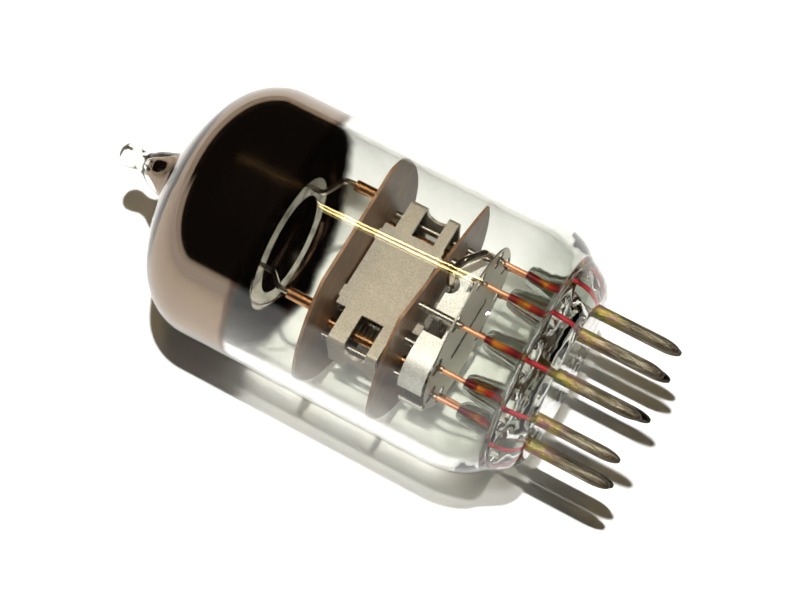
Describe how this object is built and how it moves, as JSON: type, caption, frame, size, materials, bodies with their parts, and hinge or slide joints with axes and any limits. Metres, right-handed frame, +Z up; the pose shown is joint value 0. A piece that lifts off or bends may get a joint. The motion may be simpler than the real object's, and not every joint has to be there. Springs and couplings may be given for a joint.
{
  "type": "vacuum tube",
  "caption": "Miniature glass vacuum tube with a button base of stiff pins, lying on its side; mica spacers, box anode, grid, cathode, heater and getter inside.",
  "frame": {"origin": "centre of the seating plane, the flat underside of the glass stem, on the tube axis", "axes": "+X along the tube axis from the exhaust tip to the pins; +Z up as the tube lies on its side, square to the wide face of the anode; +Y across"},
  "size_m": [0.0467, 0.0212, 0.0212],
  "materials": {
    "bulb_glass": "clear drawn glass, 0.95 mm wall, slightly grey-green on edge",
    "stem_glass": "clear pressed glass with flow marks and bosses",
    "getter_mirror": "dark brown-black evaporated film with a soft edge",
    "mica": "taupe mica sheet, faint layering, glossy cut edges",
    "anode_sheet": "warm grey sparkling matte sheet metal",
    "nickel": "drawn nickel wire",
    "bright_nickel": "bright nickel wire",
    "grid_rod": "copper-toned support rod",
    "grid_wire": "fine wound wire with a pale gold tone",
    "oxide_coating": "white alkaline-earth oxide, sprayed",
    "heater_alumina": "white alumina-coated tungsten wire",
    "shield_sheet": "light grey matte sheet with fine sparkle",
    "getter_steel": "bright pressed nickel-plated steel channel",
    "getter_residue": "grey-black porous residue of the flashed getter",
    "copper_sleeve": "copper-toned crimp sleeve",
    "seal_wire": "copper-clad seal wire, red where it is sealed in glass",
    "pin_metal": "oxidised nickel pin, brown with iridescent tints near the glass"
  },
  "bodies": {
    "root": {"anode_back": "anode_sheet", "anode_front": "anode_sheet", "anode_loop_6": "bright_nickel", "anode_rod_left": "nickel", "anode_rod_right": "nickel", "anode_strap_7": "nickel", "bottom_mica": "mica", "cathode_coating": "oxide_coating", "cathode_sleeve": "nickel", "cathode_strap_3": "nickel", "exhaust_tip": "bulb_glass", "getter_arm_lower": "bright_nickel", "getter_arm_upper": "bright_nickel", "getter_charge": "getter_residue", "getter_film": "getter_mirror", "getter_ring": "getter_steel", "getter_sleeve_lower": "copper_sleeve", "getter_sleeve_upper": "copper_sleeve", "glass_bulb": "bulb_glass", "glass_stem": "stem_glass", "grid_rod_left": "grid_rod", "grid_rod_right": "grid_rod", "grid_strap_2": "nickel", "grid_strap_9": "nickel", "grid_winding": "grid_wire", "heater": "heater_alumina", "heater_drop": "nickel", "heater_strap_4": "nickel", "heater_strap_5": "nickel", "pin_1": "pin_metal", "pin_2": "pin_metal", "pin_3": "pin_metal", "pin_4": "pin_metal", "pin_5": "pin_metal", "pin_6": "pin_metal", "pin_7": "pin_metal", "pin_8": "pin_metal", "pin_9": "pin_metal", "seal_wire_1": "seal_wire", "seal_wire_2": "seal_wire", "seal_wire_3": "seal_wire", "seal_wire_4": "seal_wire", "seal_wire_5": "seal_wire", "seal_wire_6": "seal_wire", "seal_wire_7": "seal_wire", "seal_wire_8": "seal_wire", "seal_wire_9": "seal_wire", "shield_band": "shield_sheet", "shield_disc": "shield_sheet", "shield_posts": "nickel", "shield_strap_1": "nickel", "top_mica": "mica"}
  },
  "joints": []
}
